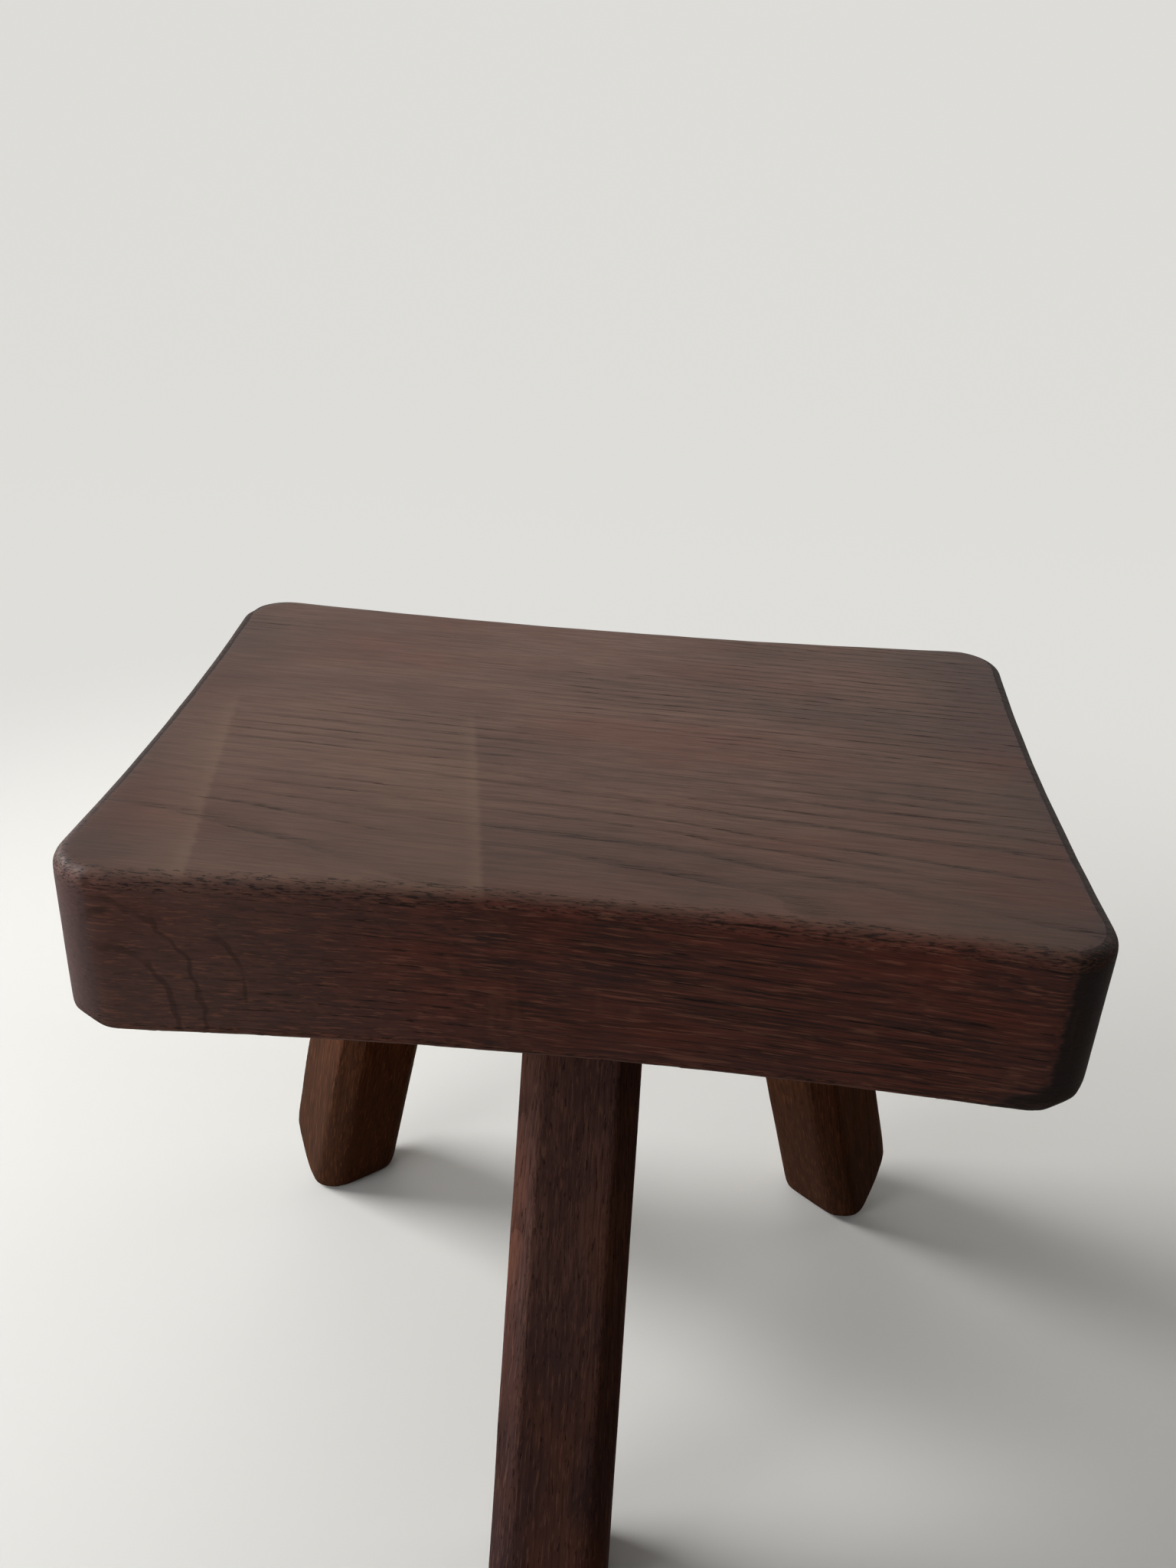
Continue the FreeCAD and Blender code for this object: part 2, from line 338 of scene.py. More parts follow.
def neighbour_mean(values, edges, count):
    """Mean of each vertex's neighbours, for an array with one row per vertex."""
    ends = np.concatenate((edges[:, 0], edges[:, 1]))
    others = np.concatenate((edges[:, 1], edges[:, 0]))
    degree = np.maximum(np.bincount(ends, minlength=count), 1)
    sums = [np.bincount(ends, weights=column, minlength=count) for column in values[others].T]
    return np.stack(sums, axis=1) / degree[:, None]


def smoothed(places, edges, passes, shrink=0.5, swell=0.0):
    """Smoothing passes; a swell after each shrink keeps the volume."""
    for _ in range(passes):
        places = places + shrink * (neighbour_mean(places, edges, len(places)) - places)
        if swell:
            places = places - swell * (neighbour_mean(places, edges, len(places)) - places)
    return places


def field(places, length, seed):
    """Smooth noise from 0 to 1 with bumps of about the given length."""
    shift = Vector([seed * part for part in FIELD_SHIFT])
    return np.array([0.5 + 0.5 * noise.noise(Vector(place) / length + shift) for place in places])


def even_mesh(node):
    """The node's solid as a mesh of small even faces."""
    blank = bpy.data.objects.new(node + "_blank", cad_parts[node].data.copy())
    bpy.context.scene.collection.objects.link(blank)
    welded = bmesh.new()
    welded.from_mesh(blank.data)
    bmesh.ops.remove_doubles(welded, verts=welded.verts, dist=1e-6)
    welded.to_mesh(blank.data)
    welded.free()
    remesh = blank.modifiers.new("even", "REMESH")
    remesh.mode = "VOXEL"
    remesh.voxel_size = MESH_STEP
    scene_state = bpy.context.evaluated_depsgraph_get()
    mesh = bpy.data.meshes.new_from_object(blank.evaluated_get(scene_state))
    bpy.data.objects.remove(blank)
    mesh.materials.clear()
    return mesh


def on_solid(node, places):
    """The nearest point of the node's solid to each place."""
    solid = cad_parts[node].data
    corners = [vertex.co for vertex in solid.vertices]
    surface = BVHTree.FromPolygons(corners, [face.vertices for face in solid.polygons])
    return np.array([surface.find_nearest(place)[0] for place in places])


def corners_cut(places, edges, underside):
    """The slab's places, with a flat cut off each lower corner and the cut's edges worn round."""
    ways = np.where(places < 0, -1.0, 1.0) * CORNER_CUT
    ways[:, 2] = CORNER_CUT[2]
    from_middle = places - (0.0, 0.0, underside)
    beyond = (from_middle * ways).sum(axis=1) - CUT_REACH
    cut = places - ways * np.maximum(beyond, 0)[:, None]
    worn = smoothed(cut, edges, CUT_STEPS)
    share = np.clip(1 + beyond / CUT_FADE, 0, 1)[:, None]
    return cut + share * (worn - cut)


def feet_worn(places, edges):
    """A leg's places, with the edges near the floor worn round."""
    worn = smoothed(places, edges, FOOT_STEPS)
    share = np.clip((FOOT_HEIGHT - places[:, 2]) / FOOT_FADE, 0, 1)[:, None]
    return places + share * (worn - places)


def mesh_arrays(mesh):
    """The mesh's places and edges, one row each."""
    places = np.zeros(len(mesh.vertices) * 3, np.float32)
    mesh.vertices.foreach_get("co", places)
    edges = np.zeros(len(mesh.edges) * 2, np.int32)
    mesh.edges.foreach_get("vertices", edges)
    return places.reshape(-1, 3).astype(float), edges.reshape(-1, 2)


def put_places(mesh, places):
    mesh.vertices.foreach_set("co", places.astype(np.float32).ravel())
    mesh.update()


def vertex_normals(mesh):
    normals = np.zeros(len(mesh.vertices) * 3, np.float32)
    mesh.vertex_normals.foreach_get("vector", normals)
    return normals.reshape(-1, 3).astype(float)


def store(mesh, name, kind, values):
    attribute = mesh.attributes.new(name, kind, "POINT")
    key = "vector" if kind == "FLOAT_VECTOR" else "value"
    attribute.data.foreach_set(key, np.asarray(values, np.float32).ravel())


def cut_across(node, normals, along):
    """How far the surface cuts across the fibres. The slab's rounds count as the side they lead to."""
    across = np.abs(normals @ along)
    if node != SLAB:
        return across
    sideways = np.hypot(normals[:, 0], normals[:, 1])
    tilted = np.clip((1 - np.abs(normals[:, 2])) / ROUND_START, 0, 1)
    return tilted * across / np.maximum(sideways, 1e-6)


def wear_depth(places, edge, rub_share, seed, dents):
    """How far in the surface is worn: long waves, rubbed edges and small dents along them."""
    depth = WAVE_DEPTH * field(places, WAVE_LENGTH, seed)
    depth += RUB_DEPTH * edge * field(places, RUB_LENGTH, seed + 1) * rub_share
    rng = np.random.default_rng(seed)
    worn = np.flatnonzero(edge > DENT_EDGE)
    for middle in places[rng.choice(worn, dents)]:
        dent_depth = rng.uniform(*DENT_DEPTH)
        dent_width = rng.uniform(*DENT_WIDTH)
        away = ((places - middle) ** 2).sum(axis=1)
        depth += dent_depth * np.exp(-away / dent_width ** 2)
    return depth


def hand_finished(node, grain_axes, grain_shift, seed, dents):
    """A piece that stands for the node, with a hand-finished surface that only goes inwards."""
    mesh = even_mesh(node)
    places, edges = mesh_arrays(mesh)
    low, high = (np.array(corner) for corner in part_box(node))
    places = on_solid(node, smoothed(places, edges, EVEN_STEPS, swell=EVEN_SWELL))
    places = corners_cut(places, edges, low[2]) if node == SLAB else feet_worn(places, edges)
    put_places(mesh, places)
    normals = vertex_normals(mesh)
    rise = ((places - smoothed(places, edges, EDGE_STEPS)) * normals).sum(axis=1)
    edge = np.clip(rise / EDGE_HEIGHT, 0, 1)

    lower_half = (node == SLAB) & (places[:, 2] < (low[2] + high[2]) / 2)
    depth = wear_depth(places, edge, np.where(lower_half, UNDER_RUB, 1.0), seed, dents)
    # What meets the floor or another piece keeps its place.
    depth[(np.abs(normals[:, 2]) > SEATED) & ((normals[:, 2] < 0) | (node != SLAB))] = 0
    places = np.clip(places - normals * depth[:, None], low, high)
    mesh.shade_smooth()
    put_places(mesh, places)

    # The polish goes with the slab's level top, and under with how far a face looks down.
    store(mesh, "grain", "FLOAT_VECTOR", places @ grain_axes.T + grain_shift)
    store(mesh, "edge", "FLOAT", edge)
    store(mesh, "end", "FLOAT", cut_across(node, normals, grain_axes[0]))
    store(mesh, "polish", "FLOAT", np.clip(normals[:, 2] * 2 - 1, 0, 1) * (node == SLAB))
    store(mesh, "under", "FLOAT", np.clip(-normals[:, 2] * 3, 0, 1))
    piece = bpy.data.objects.new(node + "_wood", mesh)
    bpy.context.scene.collection.objects.link(piece)
    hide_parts(node)
    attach(piece, "root")
    return piece


def leg_axes(node):
    """Rows: up the leg, outwards and across, from the leg's middle line."""
    corners = np.array([vertex.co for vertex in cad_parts[node].data.vertices], float)
    low, high = corners[:, 2].min(), corners[:, 2].max()
    reach = (high - low) * LEG_END
    top = corners[corners[:, 2] > high - reach].mean(axis=0)
    foot = corners[corners[:, 2] < low + reach].mean(axis=0)
    up = (top - foot) / np.linalg.norm(top - foot)
    across = np.cross(up, (0, 0, 1))
    across /= np.linalg.norm(across)
    return np.array((up, np.cross(across, up), across))


class Nodes:
    """Short spellings for the nodes of a material or of the world."""

    def __init__(self, tree):
        self.tree = tree

    def feed(self, socket, value):
        """Link the socket to another node, or set it to a plain value."""
        if isinstance(value, bpy.types.NodeSocket):
            self.tree.links.new(value, socket)
        else:
            socket.default_value = value

    def attribute(self, name, output):
        node = self.tree.nodes.new("ShaderNodeAttribute")
        node.attribute_name = name
        return node.outputs[output]

    def vector(self, operation, first, second=None):
        node = self.tree.nodes.new("ShaderNodeVectorMath")
        node.operation = operation
        self.feed(node.inputs[0], first)
        if second is not None:
            self.feed(node.inputs[1], second)
        return node.outputs["Value" if operation in ("LENGTH", "DOT_PRODUCT") else "Vector"]

    def math(self, operation, first, second=0.0):
        node = self.tree.nodes.new("ShaderNodeMath")
        node.operation = operation
        self.feed(node.inputs[0], first)
        self.feed(node.inputs[1], second)
        return node.outputs[0]

    def plus(self, first, second):
        return self.math("ADD", first, second)

    def minus(self, first, second):
        return self.math("SUBTRACT", first, second)

    def times(self, first, second):
        return self.math("MULTIPLY", first, second)

    def over(self, first, second):
        return self.math("DIVIDE", first, second)

    def larger(self, first, second):
        return self.math("MAXIMUM", first, second)

    def split(self, vector):
        node = self.tree.nodes.new("ShaderNodeSeparateXYZ")
        self.feed(node.inputs[0], vector)
        return node.outputs

    def join(self, x, y, z):
        node = self.tree.nodes.new("ShaderNodeCombineXYZ")
        for socket, value in zip(node.inputs, (x, y, z)):
            self.feed(socket, value)
        return node.outputs[0]

    def stretched(self, vector, along, across):
        return self.vector("MULTIPLY", vector, (1 / along, 1 / across, 1 / across))

    def noise(self, vector, detail=2.0, roughness=0.5, colour=False):
        node = self.tree.nodes.new("ShaderNodeTexNoise")
        self.feed(node.inputs["Vector"], vector)
        node.inputs["Scale"].default_value = 1.0
        node.inputs["Detail"].default_value = detail
        node.inputs["Roughness"].default_value = roughness
        return node.outputs[1 if colour else 0]

    def ease(self, value, start, finish, low=0.0, high=1.0):
        """Smooth step from low at start to high at finish."""
        node = self.tree.nodes.new("ShaderNodeMapRange")
        node.interpolation_type = "SMOOTHSTEP"
        for name, number in zip(("From Min", "From Max", "To Min", "To Max"), (start, finish, low, high)):
            node.inputs[name].default_value = number
        self.feed(node.inputs["Value"], value)
        return node.outputs["Result"]

    def mix(self, share, first, second):
        node = self.tree.nodes.new("ShaderNodeMix")
        node.data_type = "RGBA"
        self.feed(node.inputs[0], share)
        self.feed(node.inputs[6], first)
        self.feed(node.inputs[7], second)
        return node.outputs[2]

    def seen(self):
        """1 for what the eye sees straight, in a reflection or through glass."""
        ray = self.tree.nodes.new("ShaderNodeLightPath").outputs
        straight_or_mirrored = self.larger(ray["Is Camera Ray"], ray["Is Glossy Ray"])
        return self.larger(straight_or_mirrored, ray["Is Transmission Ray"])


def by_polish(wood, polish, shares):
    """The first share on the sides, the second on the polished top."""
    return wood.ease(polish, 0.0, 1.0, *shares)


def year_rings(wood, place, board):
    """Rings round a leaning, wandering pith line: place in the tree, distance, bearing, spring growth."""
    along = wood.split(place)[0]
    lean_y = wood.times(along, board["lean"][0])
    lean_z = wood.times(along, board["lean"][1])
    wander = wood.noise(wood.stretched(place, *RING_WANDER), detail=2.0, colour=True)
    wander = wood.vector("SUBTRACT", wander, (0.5, 0.5, 0.5))
    grown = wood.vector("ADD", place, wood.vector("MULTIPLY", wander, (0.0, RING_SHIFT, RING_SHIFT)))
    grown = wood.vector("ADD", grown, wood.join(0.0, lean_y, lean_z))
    from_pith = wood.vector("SUBTRACT", grown, (0.0, *board["pith"]))
    from_pith = wood.vector("MULTIPLY", from_pith, (0.0, 1.0, 1.0))
    radius = wood.vector("LENGTH", from_pith)
    sides = wood.split(from_pith)
    bearing = wood.math("ARCTAN2", sides[2], sides[1])
    uneven = wood.noise(wood.join(wood.over(radius, RING_UNEVEN), 0.0, 0.0), detail=1.0)
    years = wood.plus(wood.over(radius, board["ring_gap"]), wood.times(uneven, RING_SPREAD))
    spring = wood.ease(wood.math("FRACT", years), *SPRING_GROWTH)
    patch = wood.noise(wood.stretched(place, *SPRING_PATCH), detail=2.0)
    patch = wood.plus(patch, wood.times(along, SPRING_TILT))
    spring = wood.times(spring, wood.ease(patch, *SPRING_CUT, SPRING_LEAST, 1.0))
    return grown, radius, bearing, spring


def ray_flecks(wood, place, radius, bearing):
    """Rays run outwards from the pith: they show as flecks on some sides and fine lines on others."""
    along = wood.over(wood.split(place)[0], RAY_SIZE[0])
    outwards = wood.over(radius, RAY_SIZE[1])
    round_pith = wood.times(bearing, RAYS_PER_RADIAN)
    return wood.ease(wood.noise(wood.join(along, outwards, round_pith), detail=1.5), *RAY_CUT)


def ray_loops(wood, place):
    """Broad rays cut open at the left end of the slab's front side: broken dark loops."""
    x, y, z = wood.split(place)
    wobble = wood.noise(wood.stretched(place, LOOP_WOBBLE, LOOP_WOBBLE), detail=1.0)
    wobble = wood.times(wood.minus(wobble, 0.5), LOOP_WOBBLE_REACH)
    loops = 0.0
    for (centre_x, drop), (reach_x, reach_z) in RAY_LOOPS:
        across = wood.over(wood.minus(x, centre_x), reach_x)
        up = wood.over(wood.minus(z, SLAB_TOP - drop), reach_z)
        turn = wood.plus(wood.vector("LENGTH", wood.join(across, up, 0.0)), wobble)
        off = wood.math("ABSOLUTE", wood.minus(turn, 1.0))
        loop = wood.ease(off, RAY_WIDTH / reach_z, RAY_CORE * RAY_WIDTH / reach_z)
        loop = wood.times(loop, wood.ease(across, *LOOP_SIDEWAYS))
        loop = wood.times(loop, wood.ease(up, *LOOP_UPWARDS))
        loops = wood.larger(loops, loop)
    gaps = wood.noise(wood.stretched(place, LOOP_GAP, LOOP_GAP), detail=1.0)
    loops = wood.times(loops, wood.ease(gaps, *LOOP_GAP_CUT))
    return wood.times(loops, wood.ease(y, *LOOP_FRONT))


def painted_reflection_bands(wood, place):
    """Painted reflection: two faint pale bands on the top, each ending sharply on its right."""
    x, y, _ = wood.split(place)
    wander = wood.minus(wood.noise(wood.stretched(place, *REFLECTION_WANDER), detail=2.0), 0.5)
    slanted = wood.plus(x, wood.times(y, REFLECTION_SLANT))
    slanted = wood.plus(slanted, wood.times(wander, REFLECTION_WANDER_REACH))
    bands = 0.0
    for stop, reach in PAINTED_REFLECTIONS:
        film = wood.ease(slanted, stop - reach, stop, 0.0, REFLECTION_FILM)
        ridge = wood.ease(slanted, stop - RIDGE_WIDTH, stop, 0.0, REFLECTION_RIDGE)
        band = wood.times(wood.plus(film, ridge), wood.ease(slanted, stop + REFLECTION_EDGE, stop))
        bands = wood.plus(bands, band)
    return wood.times(bands, wood.ease(y, *REFLECTION_BACK))


def slab_ground(wood, tone, place, body, polish):
    """The slab's colour before the clouds of stain: dark sides, a paler top made paler still as painted
    sheen, painted shade towards the top's front and right, painted light on the left end's sides, and
    greyed tips.
    """
    x, y, _ = wood.split(place)
    calm = wood.ease(wood.plus(x, wood.times(y, CALM_SLANT)), *CALM_LEFT, *CALM_LEFT_SHARES)
    calm = wood.larger(calm, wood.ease(y, *CALM_FRONT, 0.0, CALM_FRONT_SHARE))
    even = wood.plus(body, wood.times(calm, wood.minus(0.5, body)))
    mottle = wood.noise(wood.stretched(place, *MOTTLE_SIZE), detail=5.0, roughness=0.7)
    even = wood.plus(even, wood.times(wood.minus(mottle, 0.5), MOTTLE_STRENGTH))
    top = wood.mix(even, tone["top_dark"], tone["top_light"])
    # Painted shade on the top, towards its front and its right end.
    painted_front_shade = wood.ease(y, *PAINTED_SHADE_FRONT, 0.0, PAINTED_SHADE_FRONT_SHARE)
    painted_right_shade = wood.ease(x, *PAINTED_SHADE_RIGHT, 0.0, PAINTED_SHADE_RIGHT_SHARE)
    top = wood.mix(wood.plus(painted_front_shade, painted_right_shade), top, tone["deep"])
    colour = wood.mix(body, tone["dark"], tone["light"])
    colour = wood.mix(wood.times(polish, TOP_SHARE), colour, top)
    # Painted light on the sides towards the left end.
    left = wood.mix(polish, tone["left"], top)
    colour = wood.mix(wood.ease(x, *PAINTED_LIGHT_LEFT_FADE, 0.0, PAINTED_LIGHT_LEFT_SHARE), colour, left)
    tips = wood.ease(wood.math("ABSOLUTE", x), *TIPS, 0.0, TIPS_SHARE)
    return wood.mix(tips, colour, tone["cool"])


def leg_ground(wood, tone, place, body):
    """A leg's colour before the clouds of stain, greyer towards the foot."""
    colour = wood.mix(body, tone["dark"], tone["light"])
    low = wood.ease(wood.split(place)[0], *LEG_LOW, 0.0, LEG_LOW_SHARE)
    return wood.mix(low, colour, tone["cool"])


def stain(wood, tone, place, body, polish):
    """The ground colour with warm and cool clouds over it."""
    if tone["slab"]:
        colour = slab_ground(wood, tone, place, body, polish)
    else:
        colour = leg_ground(wood, tone, place, body)
    warm = wood.noise(wood.stretched(place, *WARM_SIZE), detail=3.0)
    warmed = wood.times(wood.ease(warm, *WARM_CUT), by_polish(wood, polish, WARM_SHARES))
    colour = wood.mix(warmed, colour, tone["warm"])
    cool = wood.noise(wood.stretched(wood.vector("ADD", place, COOL_SHIFT), *COOL_SIZE), detail=3.0)
    cooled = wood.times(wood.ease(cool, *COOL_CUT), by_polish(wood, polish, COOL_SHARES))
    return wood.mix(cooled, colour, tone["cool"])


def end_grain(wood, tone, place, streak):
    """Where the fibres are cut across and have drunk the most stain, with a ragged border, and on the
    slab painted shade along the lower edge at its right end.
    """
    ragged = wood.times(wood.minus(streak, 0.5), END_RAGGED)
    across = wood.plus(wood.attribute("end", "Fac"), ragged)
    if not tone["slab"]:
        return wood.ease(across, *LEG_END_CUT)
    x, _, z = wood.split(place)
    # Painted shade along the slab's lower edge at its right end.
    painted_shade_x = wood.plus(x, wood.ease(z, SLAB_UNDER + PAINTED_SHADE_RISE, SLAB_UNDER, 0.0, PAINTED_SHADE_REACH))
    painted_shade_x = wood.plus(painted_shade_x, wood.times(ragged, PAINTED_SHADE_RAGGED))
    low_down = wood.ease(z, *(SLAB_UNDER + height for height in PAINTED_SHADE_TOP))
    painted_edge_shade = wood.times(wood.ease(painted_shade_x, *PAINTED_SHADE_CUT), low_down)
    return wood.larger(wood.ease(across, *SLAB_END_CUT), painted_edge_shade)


def wood_figure(wood, board, tone):
    """Where each feature of the wood shows, from 0 to 1."""
    place = wood.attribute("grain", "Vector")
    edge = wood.attribute("edge", "Fac")
    polish = wood.attribute("polish", "Fac")
    under = wood.attribute("under", "Fac")
    grown, radius, bearing, spring = year_rings(wood, place, board)
    fibre = wood.noise(wood.stretched(grown, *FIBRE_SIZE), detail=4.0, roughness=0.65)
    streak = wood.noise(wood.stretched(grown, *STREAK_SIZE), detail=3.0, roughness=0.6)
    body = wood.plus(wood.times(fibre, FIBRE_WEIGHT), wood.times(streak, STREAK_WEIGHT))
    dashes = wood.noise(wood.stretched(grown, *tone["pore_size"]), detail=2.0, roughness=0.6)
    between_rings = by_polish(wood, polish, (tone["pores_between"], TOP_PORES_BETWEEN))
    open_wood = wood.larger(wood.ease(spring, *PORE_RINGS), between_rings)
    glints = wood.noise(wood.stretched(wood.vector("ADD", grown, GLINT_SHIFT), *GLINT_SIZE), detail=2.0)
    speck = wood.noise(wood.stretched(place, *SPECK_SIZE), detail=2.0, roughness=0.6)
    rubbed = wood.times(wood.ease(edge, *RUBBED_EDGE), wood.ease(speck, *RUBBED_CUT))
    return SimpleNamespace(
        place=place,
        polish=polish,
        under=under,
        fibre=fibre,
        spring=spring,
        body=wood.ease(body, *BODY_CUT),
        rays=ray_flecks(wood, place, radius, bearing),
        pores=wood.times(wood.ease(dashes, *tone["pore_cut"]), open_wood),
        lit_fibres=wood.times(wood.ease(glints, *GLINT_CUT), by_polish(wood, polish, GLINT_SHARES)),
        rubbed=wood.times(rubbed, wood.minus(1.0, under)),
        pits=wood.times(wood.ease(edge, *PIT_EDGE), wood.ease(speck, *PIT_CUT)),
        end=end_grain(wood, tone, place, streak))


def slab_marks(wood, tone, figure, colour):
    """The slab's open rays and painted reflection bands, its ends paler from wear and painted light, and
    the dark end grain, which leaves out the left front corner.
    """
    x, y, _ = wood.split(figure.place)
    colour = wood.mix(wood.times(ray_loops(wood, figure.place), LOOP_SHARE), colour, tone["deep"])
    # Painted reflection: pale bands on the waxed top.
    painted_reflection = wood.times(painted_reflection_bands(wood, figure.place), figure.polish)
    colour = wood.mix(wood.times(painted_reflection, REFLECTION_SHARE), colour, tone["painted_reflection"])
    # Wear and painted light: the ends take a paler tone, which stays at the left front corner.
    colour = wood.mix(wood.times(figure.end, RUBBED_AND_LIT_END_SHARE), colour, tone["rubbed_and_lit_end"])
    kept = wood.larger(wood.ease(x, *KEPT_RIGHT), wood.ease(y, *KEPT_BACK))
    return colour, wood.times(figure.end, kept)


def oak_colour(wood, tone, figure):
    """Colour of the stained wood, and the end grain that shows."""
    colour = stain(wood, tone, figure.place, figure.body, figure.polish)
    colour = wood.mix(wood.times(figure.spring, SPRING_SHARE), colour, tone["deep"])
    colour = wood.mix(wood.times(figure.rays, RAY_SHARE), colour, tone["ray"])
    colour = wood.mix(figure.lit_fibres, colour, tone["ray"])
    end = figure.end
    if tone["slab"]:
        colour, end = slab_marks(wood, tone, figure, colour)
    colour = wood.mix(wood.times(end, END_SHARE), colour, tone["end"])
    end_rings = wood.times(wood.times(figure.spring, end), END_RING_SHARE)
    colour = wood.mix(end_rings, colour, tone["pore"])
    end_rays = wood.times(wood.times(figure.rays, end), END_RAY_SHARE)
    colour = wood.mix(end_rays, colour, tone["cool"])
    colour = wood.mix(wood.times(figure.rubbed, tone["rub"]), colour, tone["rubbed"])
    colour = wood.mix(wood.times(figure.pits, tone["pits"]), colour, tone["pore"])
    pores = wood.times(figure.pores, by_polish(wood, figure.polish, PORE_SHARES))
    return wood.mix(pores, colour, tone["pore"]), end


def oak_roughness(wood, tone, figure, end):
    """Dull in the pores, on end grain and underneath, and waxed on the top."""
    rough, smooth = tone["roughness"] + ROUGH_RANGE, tone["roughness"] - ROUGH_RANGE
    roughness = wood.ease(figure.fibre, *ROUGH_FIBRES, rough, smooth)
    roughness = wood.plus(roughness, wood.times(wood.larger(figure.pores, end), OPEN_ROUGHNESS))
    roughness = wood.plus(roughness, wood.times(figure.under, UNDER_ROUGHNESS))
    return wood.plus(roughness, wood.times(figure.polish, TOP_ROUGHNESS))


def oak_relief(wood, figure):
    """Raised fibres, sunken pores, spring growth and pits."""
    raised = by_polish(wood, figure.polish, FIBRE_RELIEF_SHARES)
    height = wood.times(wood.times(figure.fibre, FIBRE_RELIEF), raised)
    height = wood.minus(height, figure.pores)
    height = wood.minus(height, wood.times(figure.spring, SPRING_RELIEF))
    height = wood.minus(height, wood.times(figure.pits, PIT_RELIEF))
    bump = wood.tree.nodes.new("ShaderNodeBump")
    bump.inputs["Strength"].default_value = 1.0
    bump.inputs["Distance"].default_value = RELIEF
    wood.feed(bump.inputs["Height"], height)
    return bump.outputs[0]


def oak(name, board, tone):
    """Stained oak as a solid: year rings, open pores, rays, uneven stain and rubbed edges."""
    material = bpy.data.materials.new(name)
    material.use_nodes = True
    wood = Nodes(material.node_tree)
    shader = wood.tree.nodes["Principled BSDF"]
    figure = wood_figure(wood, board, tone)
    colour, end = oak_colour(wood, tone, figure)
    wood.feed(shader.inputs["Base Color"], colour)
    wood.feed(shader.inputs["Roughness"], oak_roughness(wood, tone, figure, end))
    wood.feed(shader.inputs["Normal"], oak_relief(wood, figure))
    shader.inputs["Specular IOR Level"].default_value = tone["sheen"]
    shader.inputs["Specular Tint"].default_value = tone["sheen_tint"]
    return material


def floor_paper():
    """Pale to the eye, and evenly so far off. Its level part throws up a straw mat's light."""
    material = bpy.data.materials.new("floor_paper")
    material.use_nodes = True
    paper = Nodes(material.node_tree)
    shader = paper.tree.nodes["Principled BSDF"]
    place = paper.tree.nodes.new("ShaderNodeTexCoord").outputs["Object"]
    seen = paper.seen()
    far = paper.times(seen, paper.ease(paper.vector("LENGTH", place), *FAR_OFF))
    pale = paper.larger(seen, paper.ease(paper.split(place)[2], *PALE_WALL))
    paper.feed(shader.inputs["Base Color"], paper.mix(far, paper.mix(pale, STRAW, PALE), BLACK))
    shader.inputs["Emission Color"].default_value = PALE_FAR_OFF
    paper.feed(shader.inputs["Emission Strength"], far)
    material.cycles.emission_sampling = "NONE"
    shader.inputs["Roughness"].default_value = FLOOR_ROUGHNESS
    shader.inputs["Specular IOR Level"].default_value = FLOOR_SHEEN
    return material


def backdrop():
    """Pale floor that sweeps up behind the stool."""
    profile = [(FLOOR_FRONT, 0.0)]
    for step in range(BEND_STEPS + 1):
        angle = math.radians(90 * step / BEND_STEPS)
        y = WALL_BACK - WALL_BEND + WALL_BEND * math.sin(angle)
        profile.append((y, WALL_BEND - WALL_BEND * math.cos(angle)))
    profile.append((WALL_BACK, WALL_HEIGHT))
    mesh = bpy.data.meshes.new("floor")
    points = [(x, y, z) for y, z in profile for x in (-FLOOR_HALF_WIDTH, FLOOR_HALF_WIDTH)]
    faces = [(2 * row, 2 * row + 1, 2 * row + 3, 2 * row + 2) for row in range(len(profile) - 1)]
    mesh.from_pydata(points, [], faces)
    mesh.shade_smooth()
    mesh.materials.append(floor_paper())
    floor = bpy.data.objects.new("floor", mesh)
    bpy.context.scene.collection.objects.link(floor)


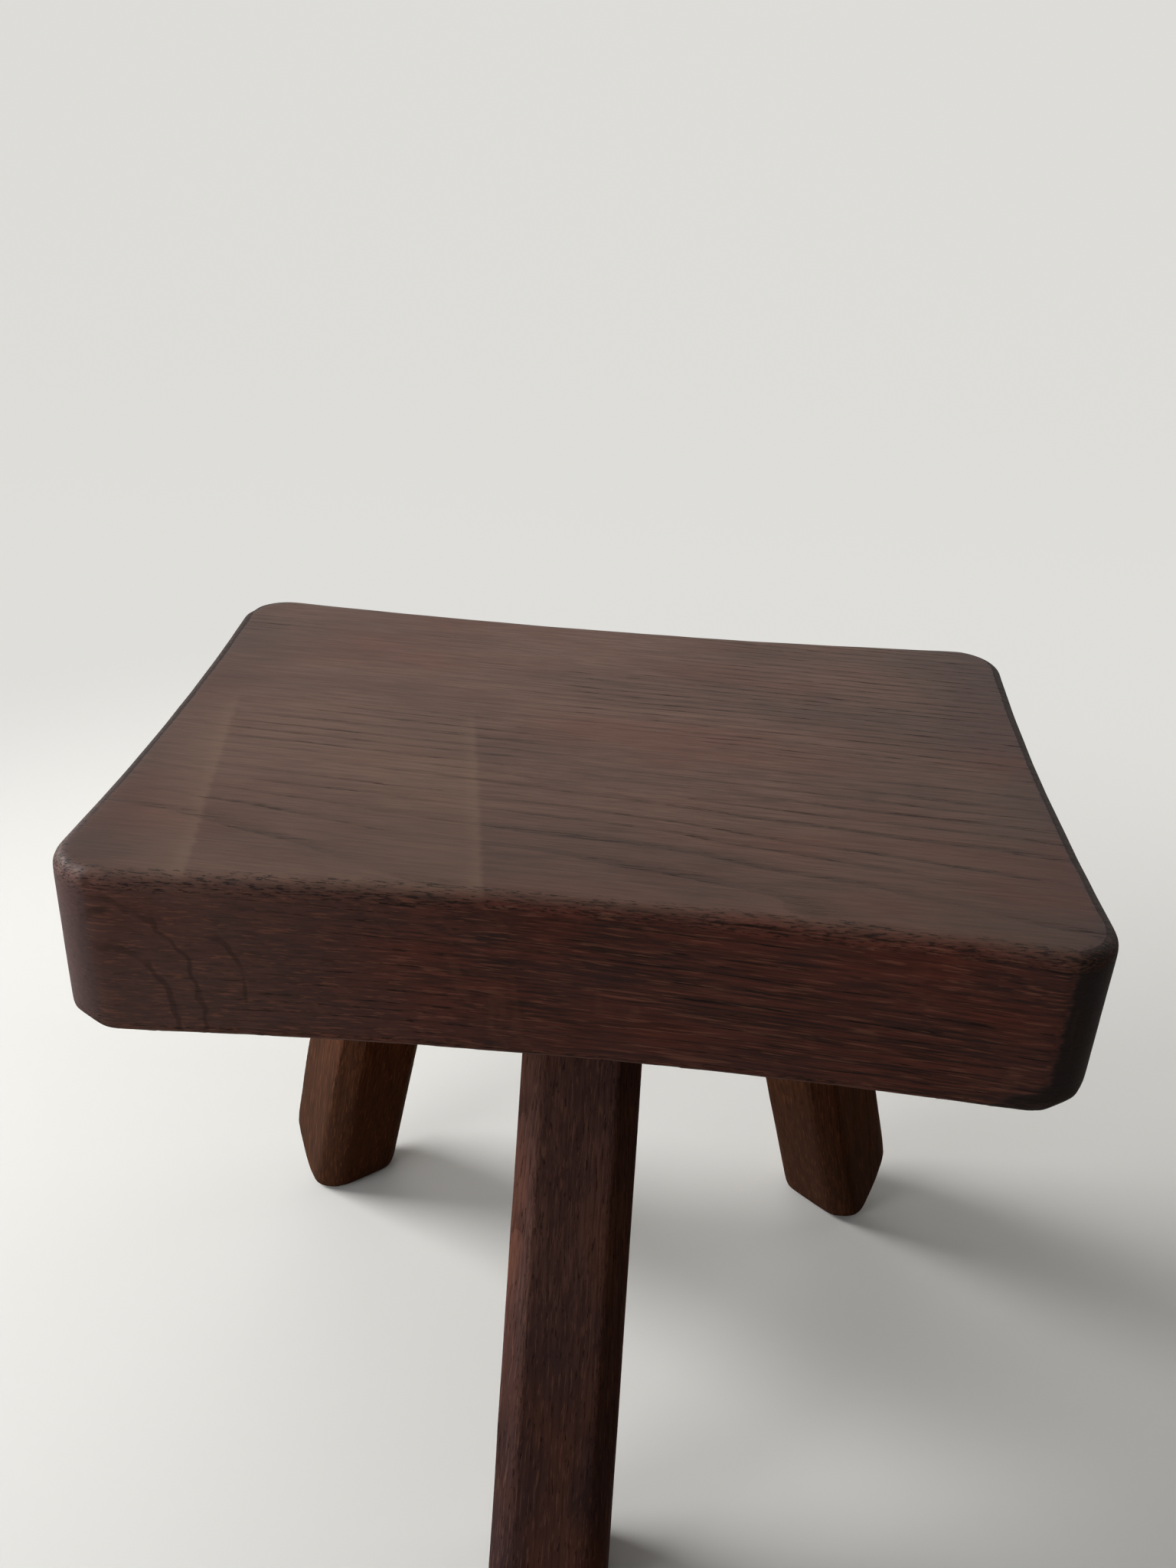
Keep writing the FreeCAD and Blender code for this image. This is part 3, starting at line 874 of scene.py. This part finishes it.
def surroundings():
    """Soft light, bright from the left front and none from the right. Evenly pale to the eye."""
    world = bpy.data.worlds.new("studio")
    world.use_nodes = True
    sky = Nodes(world.node_tree)
    direction = sky.tree.nodes.new("ShaderNodeTexCoord").outputs["Generated"]
    facing = sky.vector("DOT_PRODUCT", direction, Vector(BRIGHT_SIDE).normalized())
    light = sky.tree.nodes["Background"]
    light.inputs["Color"].default_value = SKY_LIGHT
    sky.feed(light.inputs["Strength"], sky.ease(facing, *BRIGHT_FALL, 0.0, SKY_STRENGTH))
    pale = sky.tree.nodes.new("ShaderNodeBackground")
    pale.inputs["Color"].default_value = PALE_FAR_OFF
    either = sky.tree.nodes.new("ShaderNodeMixShader")
    for socket, value in zip(either.inputs, (sky.seen(), light.outputs[0], pale.outputs[0])):
        sky.feed(socket, value)
    sky.feed(sky.tree.nodes["World Output"].inputs["Surface"], either.outputs[0])
    bpy.context.scene.world = world


def soft_light(name, place, target, size, watts, spread):
    lamp = bpy.data.lights.new(name, "AREA")
    lamp.shape = "RECTANGLE"
    lamp.size, lamp.size_y = size
    lamp.energy = watts
    lamp.spread = math.radians(spread)
    holder = bpy.data.objects.new(name, lamp)
    holder.location = place
    holder.rotation_euler = (Vector(target) - Vector(place)).to_track_quat("-Z", "Y").to_euler()
    bpy.context.scene.collection.objects.link(holder)


def camera():
    data = bpy.data.cameras.new("camera")
    data.sensor_width = SENSOR_MM
    data.lens = LENS_MM
    holder = bpy.data.objects.new("camera", data)
    holder.matrix_world = (
        Matrix.Translation(CAMERA_PLACE)
        @ Matrix.Rotation(math.radians(CAMERA_TURN), 4, "Z")
        @ Matrix.Rotation(math.radians(90 - CAMERA_DOWN), 4, "X")
        @ Matrix.Rotation(math.radians(CAMERA_ROLL), 4, "Z"))
    bpy.context.scene.collection.objects.link(holder)
    bpy.context.scene.camera = holder


seat = hand_finished(SLAB, np.eye(3), np.zeros(3), SLAB_SEED, SLAB_DENTS)
seat.data.materials.append(oak("seat_oak", SEAT_BOARD, SEAT_TONE))
for number, node in enumerate(LEGS):
    axes = leg_axes(node)
    middle = np.array(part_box(node)[0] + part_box(node)[1]) / 2
    leg = hand_finished(node, axes, -axes @ middle, LEG_SEED + number, LEG_DENTS)
    tone = FRONT_LEG_TONE if node == "front_leg" else REAR_LEG_TONE
    leg.data.materials.append(oak(node + "_oak", LEG_BOARDS[node], tone))

backdrop()
surroundings()
for lamp in LAMPS:
    soft_light(*lamp)
camera()
bpy.context.scene.view_settings.view_transform = "Standard"
